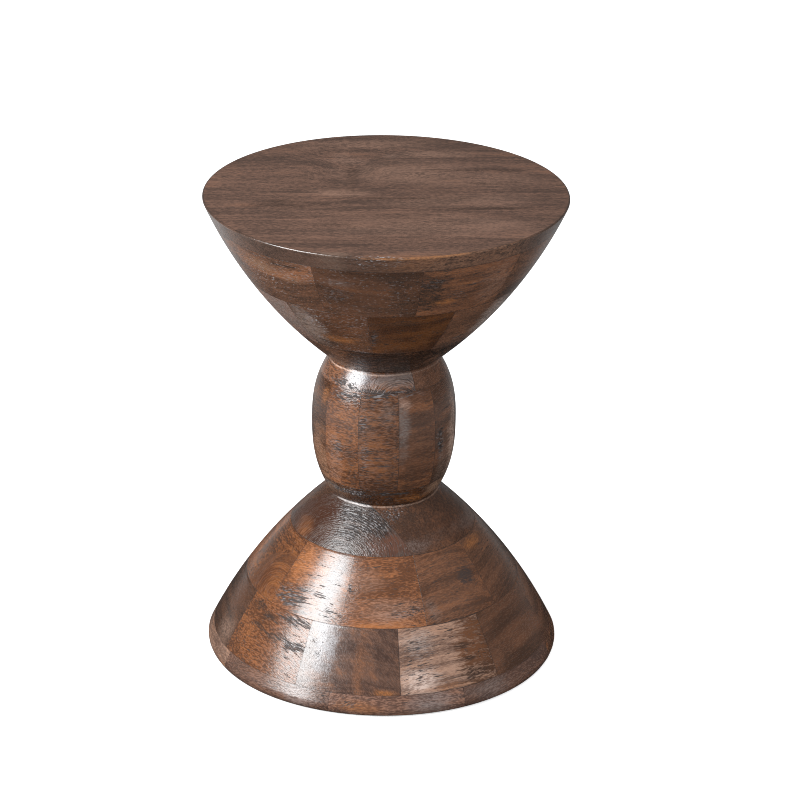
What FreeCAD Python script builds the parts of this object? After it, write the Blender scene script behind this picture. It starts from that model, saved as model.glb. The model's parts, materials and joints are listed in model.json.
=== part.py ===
import FreeCAD, Part
import math
import os

# A round side table turned from three bodies: a wide cone that holds the top, a small
# barrel and a wide cone that stands on the floor. Each body is glued up from blocks,
# and a steel rod through the middle pulls the three together.
# Millimetres, +Z up. The origin is on the floor, on the table's axis.

vec = FreeCAD.Vector
axis_point = vec(0, 0, 0)
axis_up = vec(0, 0, 1)
full_turn = 360.0
overrun = 5.0                     # how far a cutting shape runs past the wood

# Heights
table_height = 512.0
pad_thickness = 2.0
base_height = 183.0
foot_ring_height = 21.0
base_neck_height = 42.0
barrel_height = 151.0
barrel_cap_height = 20.0
top_neck_height = 38.0
top_narrow_share = 0.49           # of the height between the top's neck block and its board
top_board_thickness = 18.0

# Turned outline
top_radius = 190.0
top_edge_bevel = 1.6
top_neck_radius = 59.0
top_flank_share = 0.62            # of the widening, reached half way up the flank
base_radius = 188.6
base_tuck = 2.4                   # how far the base draws in under its widest place
base_tuck_height = 8.0
base_tuck_share = 0.25            # of the tuck, reached at a share of its height
base_tuck_height_share = 0.4
base_neck_radius = 56.0
base_flank_share = 0.603
belly_radius = 76.4
barrel_top_radius = 56.0
barrel_bottom_radius = 59.4
barrel_fullness = 2.6             # power of the barrel's curve: more is fuller
barrel_curve_points = 11

# Courses of wedge blocks: the wall is a block's thickness at the middle of its thinner end
foot_ring_count = 8
foot_ring_wall = 65.0
base_wide_count = 10
base_wide_wall = 32.0
base_narrow_count = 10
base_narrow_wall = 33.0
stave_count = 11
stave_wall = 21.0
top_narrow_count = 10
top_narrow_wall = 33.0
top_wide_count = 10
top_wide_wall = 31.0

# Direction of the first glue joint of each course, in degrees from the front
foot_ring_turn = -17.0
base_wide_turn = 6.5
base_narrow_turn = 19.0
stave_turn = 12.3
top_narrow_turn = -7.0
top_wide_turn = 12.0
front_direction = -90.0           # the front looks along -Y

# Planks of the solid courses
top_seam_shares = (-0.70, -0.308, 0.01, 0.595)      # of the top's radius, front to back
top_board_turn = 2.0
neck_plank_half_width = 52.5
neck_plank_turn = -38.8
barrel_top_seam_turn = 29.0
barrel_bottom_seam_turn = 104.0

# Tie rod and its two flanged nuts
rod_diameter = 12.0
rod_clearance = 0.5               # between rod and wood
thread_clearance = 0.05           # between rod and nut
rod_end_length = 6.0              # past each nut
rod_end_bevel = 1.2
nut_width_share = 1.5             # nut sizes as shares of the rod's diameter
nut_height_share = 1.0
nut_flange_share = 2.17
nut_flange_rim_share = 0.15
nut_flange_height_share = 0.42
nut_bevel_share = 0.1

# Felt pads
pad_count = 4
pad_radius = 12.5
pad_circle_radius = 152.0
pad_turn = 45.0

# Places that follow from the sizes above
foot_bottom = pad_thickness
barrel_bottom = foot_bottom + base_height
top_neck_bottom = barrel_bottom + barrel_height
base_wide_bottom = foot_bottom + foot_ring_height
base_neck_bottom = barrel_bottom - base_neck_height
base_course_height = (base_neck_bottom - base_wide_bottom) / 2
base_narrow_bottom = base_wide_bottom + base_course_height
stave_bottom = barrel_bottom + barrel_cap_height
stave_top = top_neck_bottom - barrel_cap_height
top_narrow_bottom = top_neck_bottom + top_neck_height
top_board_bottom = table_height - top_board_thickness
top_narrow_height = top_narrow_share * (top_board_bottom - top_narrow_bottom)
top_wide_bottom = top_narrow_bottom + top_narrow_height
reach = max(top_radius, base_radius) + overrun
rod_radius = rod_diameter / 2
rod_hole_radius = rod_radius + rod_clearance
nut_height = nut_height_share * rod_diameter


def at(radius, height):
    """A point of an outline, in the half plane through +X."""
    return vec(radius, 0, height)


def section_face(edges):
    """The flat section that a closed run of edges encloses."""
    return Part.Face(Part.Wire(Part.__sortEdges__(edges)))


def line(start, end):
    return Part.LineSegment(start, end).toShape()


def arc(start, middle, end):
    return Part.Arc(start, middle, end).toShape()


def top_section():
    """The upper cone: a bulging flank from the neck to a rim with its edge taken off."""
    flank_top = table_height - top_edge_bevel
    flank_middle = (top_neck_bottom + flank_top) / 2
    middle_radius = top_neck_radius + top_flank_share * (top_radius - top_neck_radius)
    neck = at(top_neck_radius, top_neck_bottom)
    rim = at(top_radius, flank_top)
    board_edge = at(top_radius - top_edge_bevel, table_height)
    return section_face([
        line(at(0, top_neck_bottom), neck),
        arc(neck, at(middle_radius, flank_middle), rim),
        line(rim, board_edge),
        line(board_edge, at(0, table_height)),
        line(at(0, table_height), at(0, top_neck_bottom)),
    ])


def base_section():
    """The lower cone: the same kind of flank, drawn in a little at the floor."""
    widest_height = foot_bottom + base_tuck_height
    flank_middle = (widest_height + barrel_bottom) / 2
    middle_radius = base_neck_radius + base_flank_share * (base_radius - base_neck_radius)
    tuck_middle = at(base_radius - base_tuck_share * base_tuck,
                     foot_bottom + base_tuck_height_share * base_tuck_height)
    foot = at(base_radius - base_tuck, foot_bottom)
    widest = at(base_radius, widest_height)
    neck = at(base_neck_radius, barrel_bottom)
    return section_face([
        line(at(0, foot_bottom), foot),
        arc(foot, tuck_middle, widest),
        arc(widest, at(middle_radius, flank_middle), neck),
        line(neck, at(0, barrel_bottom)),
        line(at(0, barrel_bottom), at(0, foot_bottom)),
    ])


def barrel_radius(position):
    """The barrel's radius from its bottom, at -1, to its top, at 1."""
    end_radius = barrel_top_radius if position > 0 else barrel_bottom_radius
    return belly_radius - (belly_radius - end_radius) * abs(position) ** barrel_fullness


def barrel_section():
    """The barrel: one full curve between its two caps."""
    half_height = (top_neck_bottom - barrel_bottom) / 2
    points = []
    for index in range(barrel_curve_points):
        position = 2 * index / (barrel_curve_points - 1) - 1
        points.append(at(barrel_radius(position), barrel_bottom + half_height * (1 + position)))
    side = Part.BSplineCurve()
    side.interpolate(points)
    return section_face([
        line(at(0, barrel_bottom), points[0]),
        side.toShape(),
        line(points[-1], at(0, top_neck_bottom)),
        line(at(0, top_neck_bottom), at(0, barrel_bottom)),
    ])


def course_section(section, bottom, height):
    """The part of a section that one course of wood takes up."""
    corners = [at(0, bottom), at(reach, bottom), at(reach, bottom + height), at(0, bottom + height)]
    slab = Part.Face(Part.makePolygon(corners + corners[:1]))
    return section.common(slab).Faces[0]


def turned(section):
    """A full turn of a section about the table's axis."""
    return section.revolve(axis_point, axis_up, full_turn)


def rotated(shape, angle):
    copy = shape.copy()
    copy.rotate(axis_point, axis_up, angle)
    return copy


def wedge_block(section, count, wall):
    """One block of a course, its middle on +X: mitred ends, turned outside, flat inside."""
    step = full_turn / count
    bore = min(corner.X for corner in section.Vertexes if corner.X > 0) - wall
    wedge = rotated(section.revolve(axis_point, axis_up, step), -step / 2)
    room = wedge.BoundBox
    outside = Part.makeBox(reach, 2 * reach, room.ZLength + 2 * overrun,
                           vec(bore, -reach, room.ZMin - overrun))
    return wedge.common(outside).Solids[0]


def course_blocks(section, count, wall, first_joint):
    """All the blocks of a course, counted from the first joint towards the right."""
    block = wedge_block(section, count, wall)
    step = full_turn / count
    return [rotated(block, front_direction + first_joint + (index + 1 / 2) * step)
            for index in range(count)]


def rod_hole(bottom, height):
    return Part.makeCylinder(rod_hole_radius, height + 2 * overrun,
                             vec(0, 0, bottom - overrun))


def plank_strips(disc, seams, turn):
    """A disc sawn into planks: the seams are distances across the planks' run."""
    room = disc.BoundBox
    edges = [-reach] + list(seams) + [reach]
    planks = []
    for near, far in zip(edges, edges[1:]):
        strip = Part.makeBox(2 * reach, far - near, room.ZLength + 2 * overrun,
                             vec(-reach, near, room.ZMin - overrun))
        planks += disc.common(rotated(strip, turn)).Solids
    return planks


def top_board():
    """The tabletop: planks glued edge to edge and turned to a disc."""
    disc = turned(course_section(top_section(), top_board_bottom, top_board_thickness))
    seams = [share * top_radius for share in top_seam_shares]
    return plank_strips(disc, seams, top_board_turn)


def top_neck_block():
    disc = turned(course_section(top_section(), top_neck_bottom, top_neck_height))
    return disc.cut(rod_hole(top_neck_bottom, top_neck_height)).Solids


def base_neck_block():
    """Three planks side by side; the rod runs through the middle one."""
    disc = turned(course_section(base_section(), base_neck_bottom, base_neck_height))
    disc = disc.cut(rod_hole(base_neck_bottom, base_neck_height))
    return plank_strips(disc, [-neck_plank_half_width, neck_plank_half_width], neck_plank_turn)


def barrel_cap(bottom, seam_turn):
    """A cap of two halves that meet in the plane of the barrel's axis."""
    disc = turned(course_section(barrel_section(), bottom, barrel_cap_height))
    disc = disc.cut(rod_hole(bottom, barrel_cap_height))
    return plank_strips(disc, [0], front_direction + seam_turn)


def tie_rod():
    bottom = base_neck_bottom - nut_height - rod_end_length
    top = top_narrow_bottom + nut_height + rod_end_length
    rod = Part.makeCylinder(rod_radius, top - bottom, vec(0, 0, bottom))
    ends = [edge for edge in rod.Edges if edge.Curve.TypeId == "Part::GeomCircle"]
    return [rod.makeChamfer(rod_end_bevel, ends)]


def flanged_nut():
    """A hexagon nut that stands on its own round flange, on the plane z = 0."""
    flange_radius = nut_flange_share * rod_radius
    flange_rim = nut_flange_rim_share * rod_diameter
    flange_height = nut_flange_height_share * rod_diameter
    bevel = nut_bevel_share * rod_diameter
    corner_radius = nut_width_share * rod_radius / math.cos(math.pi / 6)
    corners = [vec(corner_radius * math.cos(step * math.pi / 3),
                   corner_radius * math.sin(step * math.pi / 3), 0) for step in range(6)]
    hexagon = Part.Face(Part.makePolygon(corners + corners[:1])).extrude(vec(0, 0, nut_height))
    bevelled = section_face([
        line(at(0, 0), at(corner_radius, 0)),
        line(at(corner_radius, 0), at(corner_radius, nut_height - bevel)),
        line(at(corner_radius, nut_height - bevel), at(corner_radius - bevel, nut_height)),
        line(at(corner_radius - bevel, nut_height), at(0, nut_height)),
        line(at(0, nut_height), at(0, 0)),
    ])
    rim = Part.makeCylinder(flange_radius, flange_rim)
    slope = Part.makeCone(flange_radius, nut_width_share * rod_radius,
                          flange_height - flange_rim, vec(0, 0, flange_rim))
    body = hexagon.common(turned(bevelled)).fuse([rim, slope])
    bore = Part.makeCylinder(rod_radius + thread_clearance, nut_height + 2 * overrun,
                             vec(0, 0, -overrun))
    return body.cut(bore).Solids[0]


def tie_rod_nuts():
    """One nut in the upper cone's closed hollow, one under the base's neck block."""
    upper = flanged_nut()
    upper.translate(vec(0, 0, top_narrow_bottom))
    lower = flanged_nut()
    lower.rotate(axis_point, vec(1, 0, 0), full_turn / 2)
    lower.translate(vec(0, 0, base_neck_bottom))
    return [upper, lower]


def felt_pads():
    pad = Part.makeCylinder(pad_radius, pad_thickness, at(pad_circle_radius, 0))
    return [rotated(pad, pad_turn + index * full_turn / pad_count) for index in range(pad_count)]


def save(name, solids):
    shape = solids[0] if len(solids) == 1 else Part.makeCompound(solids)
    shape.exportStep("parts/" + name + ".step")
    print(name, len(solids), "solids", round(sum(solid.Volume for solid in solids)), "mm3")


def save_blocks(name, blocks):
    """Each block of a course as a piece of its own."""
    for number, block in enumerate(blocks, 1):
        save(f"{name}_{number:02d}", [block])


os.makedirs("parts", exist_ok=True)

top_outline = top_section()
base_outline = base_section()
barrel_outline = barrel_section()

save("top_board", top_board())
save_blocks("top_wide_block", course_blocks(
    course_section(top_outline, top_wide_bottom, top_board_bottom - top_wide_bottom),
    top_wide_count, top_wide_wall, top_wide_turn))
save_blocks("top_narrow_block", course_blocks(
    course_section(top_outline, top_narrow_bottom, top_narrow_height),
    top_narrow_count, top_narrow_wall, top_narrow_turn))
save("top_neck_block", top_neck_block())

save("barrel_top_cap", barrel_cap(stave_top, barrel_top_seam_turn))
save_blocks("barrel_stave", course_blocks(
    course_section(barrel_outline, stave_bottom, stave_top - stave_bottom),
    stave_count, stave_wall, stave_turn))
save("barrel_bottom_cap", barrel_cap(barrel_bottom, barrel_bottom_seam_turn))

save("base_neck_block", base_neck_block())
save_blocks("base_narrow_block", course_blocks(
    course_section(base_outline, base_narrow_bottom, base_course_height),
    base_narrow_count, base_narrow_wall, base_narrow_turn))
save_blocks("base_wide_block", course_blocks(
    course_section(base_outline, base_wide_bottom, base_course_height),
    base_wide_count, base_wide_wall, base_wide_turn))
save("foot_ring", course_blocks(
    course_section(base_outline, foot_bottom, foot_ring_height),
    foot_ring_count, foot_ring_wall, foot_ring_turn))

save("tie_rod", tie_rod())
save("tie_rod_nuts", tie_rod_nuts())
save("felt_pads", felt_pads())
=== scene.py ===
import json
import math
import random

import bmesh
import bpy
from mathutils import Matrix, Vector

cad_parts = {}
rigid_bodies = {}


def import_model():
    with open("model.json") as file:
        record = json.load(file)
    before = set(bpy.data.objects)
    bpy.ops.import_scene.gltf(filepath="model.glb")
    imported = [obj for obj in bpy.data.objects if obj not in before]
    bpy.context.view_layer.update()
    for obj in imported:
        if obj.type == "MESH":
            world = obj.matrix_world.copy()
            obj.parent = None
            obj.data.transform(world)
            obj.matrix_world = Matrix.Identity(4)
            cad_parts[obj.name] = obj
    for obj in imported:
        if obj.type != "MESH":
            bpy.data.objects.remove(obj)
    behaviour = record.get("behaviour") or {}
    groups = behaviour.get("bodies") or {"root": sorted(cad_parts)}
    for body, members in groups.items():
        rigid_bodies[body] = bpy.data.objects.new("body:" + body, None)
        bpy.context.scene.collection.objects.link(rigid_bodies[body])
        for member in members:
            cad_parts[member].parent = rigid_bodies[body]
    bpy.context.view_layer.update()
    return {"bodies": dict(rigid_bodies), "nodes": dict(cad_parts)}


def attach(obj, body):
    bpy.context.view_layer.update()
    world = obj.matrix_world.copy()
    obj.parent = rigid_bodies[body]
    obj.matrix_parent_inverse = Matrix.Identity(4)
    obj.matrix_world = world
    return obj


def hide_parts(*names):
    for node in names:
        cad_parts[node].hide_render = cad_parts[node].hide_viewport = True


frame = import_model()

scene = bpy.context.scene
scene.view_settings.view_transform = "Standard"
body = list(frame["bodies"])[0]
mm = 0.001
sameEdge = 1e-7  # metres: closer places than these count as one
sameSpot = 1e-6
sameRim = 1e-5
weldGap = 2e-6
uprightLeast = 0.01  # metres, how far an upright edge rises at least
smoothAngle = math.radians(30)
print("frame loaded, body", body)


# the turned outline, in mm: the same curves as the part's own

outlineOf = {
    "topFlank": ((59.0, 336.0), (140.2, 423.2), (189.95, 510.4)),  # radius, height
    "baseFlank": ((188.6, 10.0), (136.0, 97.5), (56.0, 185.0)),
    "tuck": ((186.2, 2.0), (188.0, 5.2), (188.6, 10.0)),
    "belly": 76.4,
    "barrelTop": 56.0,
    "barrelBottom": 59.4,
    "fullness": 2.6,
}
rodHole = 6.6  # mm, radius


def circleThrough(points):
    (ax, ay), (bx, by), (cx, cy) = points
    turn = 2 * (ax * (by - cy) + bx * (cy - ay) + cx * (ay - by))
    a, b, c = ax * ax + ay * ay, bx * bx + by * by, cx * cx + cy * cy
    x = (a * (by - cy) + b * (cy - ay) + c * (ay - by)) / turn
    y = (a * (cx - bx) + b * (ax - cx) + c * (bx - ax)) / turn
    return x, y, math.hypot(ax - x, ay - y)


topCircle = circleThrough(outlineOf["topFlank"])
baseCircle = circleThrough(outlineOf["baseFlank"])
tuckCircle = circleThrough(outlineOf["tuck"])
neckRadius, barrelHigh = outlineOf["topFlank"][0]
baseNeckRadius, barrelLow = outlineOf["baseFlank"][2]
tuckHigh = outlineOf["tuck"][2][1]
sideHigh = outlineOf["topFlank"][2][1]


def radiusAt(height):
    if height > barrelHigh:
        x, y, r = topCircle
    elif height >= barrelLow:
        t = (height - barrelLow) / ((barrelHigh - barrelLow) / 2) - 1
        end = outlineOf["barrelBottom"] if t < 0 else outlineOf["barrelTop"]
        return outlineOf["belly"] - (outlineOf["belly"] - end) * abs(t) ** outlineOf["fullness"]
    elif height >= tuckHigh:
        x, y, r = baseCircle
    else:
        x, y, r = tuckCircle
    return x + math.sqrt(max(r * r - (height - y) ** 2, 0))


def evenRows(low, high, step):
    count = max(2, round((high - low) / step))
    heights = [low + (high - low) * i / count for i in range(count + 1)]
    return [(radiusAt(height), height) for height in heights]


# modelling helpers


def deselectAll():
    if bpy.context.object and bpy.context.object.mode != "OBJECT":
        bpy.ops.object.mode_set(mode="OBJECT")
    bpy.ops.object.select_all(action="DESELECT")


def takeUp(piece):
    deselectAll()
    piece.select_set(True)
    bpy.context.view_layer.objects.active = piece


def selectWhere(piece, test):  # picks vertices by their place
    bpy.ops.mesh.select_mode(type="VERT")
    bpy.ops.mesh.select_all(action="DESELECT")
    mesh = bmesh.from_edit_mesh(piece.data)
    for vertex in mesh.verts:
        if test(vertex.co):
            vertex.select_set(True)
    mesh.select_flush_mode()
    bmesh.update_edit_mesh(piece.data)


def cutRows(piece, cuts):  # cuts the upright edges into even rows
    bpy.ops.mesh.select_mode(type="EDGE")
    bpy.ops.mesh.select_all(action="DESELECT")
    mesh = bmesh.from_edit_mesh(piece.data)
    for edge in mesh.edges:
        if abs(edge.verts[0].co.z - edge.verts[1].co.z) > uprightLeast:
            edge.select_set(True)
    bmesh.update_edit_mesh(piece.data)
    bpy.ops.mesh.subdivide(number_cuts=cuts)


def applyModifier(piece, kind, **values):
    takeUp(piece)
    modifier = piece.modifiers.new(kind.title(), kind)
    for key, value in values.items():
        setattr(modifier, key, value)
    bpy.ops.object.modifier_apply(modifier=modifier.name)


def turnedSection(name, rows, bore):  # an upright strip from the bore to the turned outline
    deselectAll()
    bpy.ops.mesh.primitive_plane_add(size=1, rotation=(math.pi / 2, 0, 0))
    piece = bpy.context.object
    piece.name = piece.data.name = name
    bpy.ops.object.transform_apply(rotation=True)
    low, high = rows[0][1], rows[-1][1]
    wide = max(r for r, z in rows)
    outside = wide * mm - sameRim
    bpy.ops.object.mode_set(mode="EDIT")
    bpy.ops.mesh.select_all(action="SELECT")
    bpy.ops.transform.resize(value=((wide - bore) * mm, 1, (high - low) * mm),
                             center_override=(0, 0, 0))
    bpy.ops.transform.translate(value=((wide + bore) / 2 * mm, 0, (high + low) / 2 * mm))
    cutRows(piece, len(rows) - 2)
    step = (high - low) / (len(rows) - 1)
    for count, (radius, height) in enumerate(rows):
        now = low + step * count
        selectWhere(piece, lambda co: abs(co.z - now * mm) < sameSpot)
        bpy.ops.transform.translate(value=(0, 0, (height - now) * mm))
        selectWhere(piece, lambda co: abs(co.z - height * mm) < sameSpot and co.x > outside)
        bpy.ops.transform.translate(value=((radius - wide) * mm, 0, 0))
    return piece


def spinUp(piece, degrees, steps):  # turns the section round the table's axis
    bpy.ops.mesh.select_mode(type="FACE")
    bpy.ops.mesh.select_all(action="SELECT")
    if degrees == 360:  # a full turn takes the outline alone, or walls stay inside
        bpy.ops.mesh.delete(type="ONLY_FACE")
        bpy.ops.mesh.select_mode(type="EDGE")
        mesh = bmesh.from_edit_mesh(piece.data)
        heights = [vertex.co.z for vertex in mesh.verts]
        for edge in mesh.edges:
            a, b = (vertex.co.z for vertex in edge.verts)
            inside = min(heights) + sameSpot < a < max(heights) - sameSpot
            edge.select_set(abs(a - b) < sameEdge and inside)
        bmesh.update_edit_mesh(piece.data)
        bpy.ops.mesh.delete(type="EDGE")
        bpy.ops.mesh.select_all(action="SELECT")
    bpy.ops.mesh.spin(steps=steps, angle=-math.radians(degrees), center=(0, 0, 0), axis=(0, 0, 1))
    bpy.ops.mesh.select_all(action="SELECT")
    bpy.ops.mesh.remove_doubles(threshold=weldGap)
    bpy.ops.mesh.normals_make_consistent(inside=False)
    bpy.ops.object.mode_set(mode="OBJECT")


def turnedCopy(source, name, degrees):
    takeUp(source)
    bpy.ops.object.duplicate(linked=False)
    piece = bpy.context.object
    piece.name = piece.data.name = name
    piece.rotation_euler = (0, 0, math.radians(degrees))
    bpy.ops.object.transform_apply(rotation=True)
    return piece


def sawAlong(plane, normal, **side):  # cuts the piece in edit mode and closes the cut
    bpy.ops.mesh.select_all(action="SELECT")
    bpy.ops.mesh.bisect(plane_co=plane, plane_no=normal, use_fill=True, threshold=sameEdge, **side)


def place(piece, node, recipe, layout):
    piece.data.materials.clear()
    piece.data.materials.append(woodMaterial(piece.name + "Wood", recipe, layout))
    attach(piece, body)
    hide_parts(node)
    bpy.ops.object.shade_smooth_by_angle(angle=smoothAngle)


# shader helpers


class Wire:  # a shader socket that Python's own signs work on
    def __init__(self, tree, socket):
        self.tree = tree
        self.socket = socket

    def __add__(self, other):
        return mathNode(self.tree, "ADD", self, other)

    def __radd__(self, other):
        return mathNode(self.tree, "ADD", other, self)

    def __sub__(self, other):
        return mathNode(self.tree, "SUBTRACT", self, other)

    def __rsub__(self, other):
        return mathNode(self.tree, "SUBTRACT", other, self)

    def __mul__(self, other):
        return mathNode(self.tree, "MULTIPLY", self, other)

    def __rmul__(self, other):
        return mathNode(self.tree, "MULTIPLY", other, self)


def feed(tree, node, sockets):  # links wires to a node's sockets, and sets the other values
    for key, value in sockets.items():
        if isinstance(value, Wire):
            tree.links.new(value.socket, node.inputs[key])
        else:
            node.inputs[key].default_value = value


def addNode(tree, kind, settings, sockets, output=0):
    node = tree.nodes.new(kind)
    for key, value in settings.items():
        setattr(node, key, value)
    feed(tree, node, sockets)
    return Wire(tree, node.outputs[output])


def otherOutput(wire, key):
    return Wire(wire.tree, wire.socket.node.outputs[key])


def mathNode(tree, operation, *values):
    return addNode(tree, "ShaderNodeMath", {"operation": operation}, dict(enumerate(values)))


def smooth(tree, value, low, high, start=0.0, end=1.0):
    return addNode(tree, "ShaderNodeMapRange", {"interpolation_type": "SMOOTHSTEP"},
                   {"Value": value, "From Min": low, "From Max": high, "To Min": start, "To Max": end})


def mixColour(tree, share, first, second):
    return addNode(tree, "ShaderNodeMix", {"data_type": "RGBA"}, {0: share, 6: first, 7: second}, 2)


def vectorMath(tree, operation, first, second=(0, 0, 0), third=(0, 0, 0), output=0):
    return addNode(tree, "ShaderNodeVectorMath", {"operation": operation},
                   {0: first, 1: second, 2: third}, output)


def lengthOf(tree, vector):
    return vectorMath(tree, "LENGTH", vector, output=1)


def joined(tree, x, y, z):
    return addNode(tree, "ShaderNodeCombineXYZ", {}, {0: x, 1: y, 2: z})


def axesOf(tree, vector):
    x = addNode(tree, "ShaderNodeSeparateXYZ", {}, {0: vector})
    return x, otherOutput(x, 1), otherOutput(x, 2)


def placeOf(tree):  # the place on the object, in metres
    return addNode(tree, "ShaderNodeTexCoord", {}, {}, 3)


def turnedTo(tree, vector, turn, shift):
    return addNode(tree, "ShaderNodeMapping", {"vector_type": "POINT"},
                   {"Vector": vector, "Rotation": turn, "Location": shift})


def noiseAt(tree, vector, stretch, detail=2.0, roughness=0.5, output=0):
    scaled = vectorMath(tree, "MULTIPLY", vector, stretch)
    return addNode(tree, "ShaderNodeTexNoise", {"noise_dimensions": "3D"},
                   {"Vector": scaled, "Scale": 1.0, "Detail": detail, "Roughness": roughness}, output)


def noiseAlong(tree, value, detail, roughness):
    return addNode(tree, "ShaderNodeTexNoise", {"noise_dimensions": "1D"},
                   {"W": value, "Scale": 1.0, "Detail": detail, "Roughness": roughness})


def bumpFrom(tree, height):
    return addNode(tree, "ShaderNodeBump", {}, {"Strength": 1.0, "Distance": mm, "Height": height})


def newMaterial(name):
    material = bpy.data.materials.new(name)
    material.use_nodes = True
    tree = material.node_tree
    tree.nodes.clear()
    output = tree.nodes.new("ShaderNodeOutputMaterial")
    shader = tree.nodes.new("ShaderNodeBsdfPrincipled")
    tree.links.new(shader.outputs[0], output.inputs[0])
    return material, tree, shader


def opaque(colour):
    return (colour[0], colour[1], colour[2], 1.0)


# the wood: what a block's recipe can change, and what all blocks share

toneNames = ("dark", "light", "accent")
plainWood = {
    "accentShare": 0.35,
    "deep": 1.0,  # below 1 the stain is darker
    "pith": (-70, 40),  # where the rings centre, mm outwards and up from the block's middle
    "ringGap": 6.0,  # mm
    "ringDepth": 0.5,
    "waver": 5.0,  # mm
    "tilt": 2.0,  # degrees, grain rising to the right
    "fibre": 0.5,
    "grit": 0.5,  # fine speckle
    "torn": 0.0,  # open, torn grain
    "dashes": 0.3,
    "pores": 0.35,
    # next: how much painted glint speck, light grey standing in for caught light, goes into the colour
    "glints": 0.0,
    "ripple": 0.0,
    "curl": 0.55,
    "relief": 1.0,
    "seam": 0.35,
    "patches": [],  # (angle or mm across, height, half width, half height, tone, amount)
    "knots": [],  # (angle or mm across, height, half width, half height, lift)
    "eye": None,  # the grain circles this: (angle, height mm, reach mm)
    "shine": 0.24,
    "lacquer": 0.5,
}
coalTint = (0.026, 0.020, 0.019)  # as a patch it also tears the grain
paintedGlintTone = (0.43, 0.41, 0.43)  # painted highlight: light-grey glint specks mixed into the colour; as a patch it only adds these specks
noises = {  # (per metre: out, along and across the grain), detail, roughness
    "wander": ((9, 5, 9), 3.0, 0.5),
    "drag": ((70, 24, 70), 3.0, 0.6),
    "fibre": ((340, 22, 340), 3.0, 0.65),
    "speck": ((850, 200, 850), 1.0, 0.6),
    "cloud": ((24, 10, 32), 3.0, 0.6),
    "feather": ((110, 9, 110), 2.0, 0.5),
    "ridge": ((760, 130, 760), 1.0, 0.6),
    "dash": ((640, 50, 640), 2.0, 0.6),
    "spark": ((820, 300, 820), 0.0, 0.5),
    "swell": ((70, 45, 70), 2.0, 0.5),
    "ripple": ((90, 120, 620), 2.0, 0.6),
}
grainMix = {
    "dragBend": (0.001, 0.004, 0.0035),  # metres
    "eyeBend": (0, 0.006, 0.006),
    "bands": (0.30, 2.0, 0.5),  # for each ring gap, detail, roughness
    "rings": (1.0, 3.0, 0.65),
    "poreCells": (820, 230, 820),
    "poreSize": (0.16, 0.50),
    "tone": {"bands": 0.40, "rings": 0.55, "cloud": 1.1, "feather": 0.9, "fibre": 1.7, "grit": 0.80},
    "warm": {"rings": 0.4, "feather": 0.8, "fibre": 0.28, "grit": 0.06},
    "arcs": {"reach": 2500, "cloud": 30, "fibre": 5, "ridge": 0.075, "grit": 0.20},
    "rough": {"pores": 0.2, "dashes": 0.40, "grit": 0.10, "cloud": 0.10},
    "coatRoughness": 0.235,
}
turnedRim = {  # the top's turned side, metres from the axis and from the floor
    "side": (0.1879, 0.1887),
    "shoulder": (0.5105, 0.5095),
    "line": (0.1878, 0.1884),
    "lineHeight": (0.5095, 0.5105),
    "worn": ((-0.035, 0.0), (0.095, 0.06)),  # where it fades in and out, to the right
    "warm": ((-0.01, 0.05), (0.150, 0.120)),
    "joint": (0.4949, 0.4943),
    "sideTone": (0.030, 0.017, 0.011),
    "warmTone": (0.24, 0.120, 0.070),
    "wornTone": (0.33, 0.14, 0.05),
    "shine": 0.22,
}


def ovalRound(tree, own, spot, wide, tall):  # its length is 1 at the oval's edge
    u, w = spot
    return vectorMath(tree, "MULTIPLY_ADD", own, (0, 1 / (wide * mm), 1 / (tall * mm)),
                      (0, -u / (wide * mm), -w / (tall * mm)))


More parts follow.
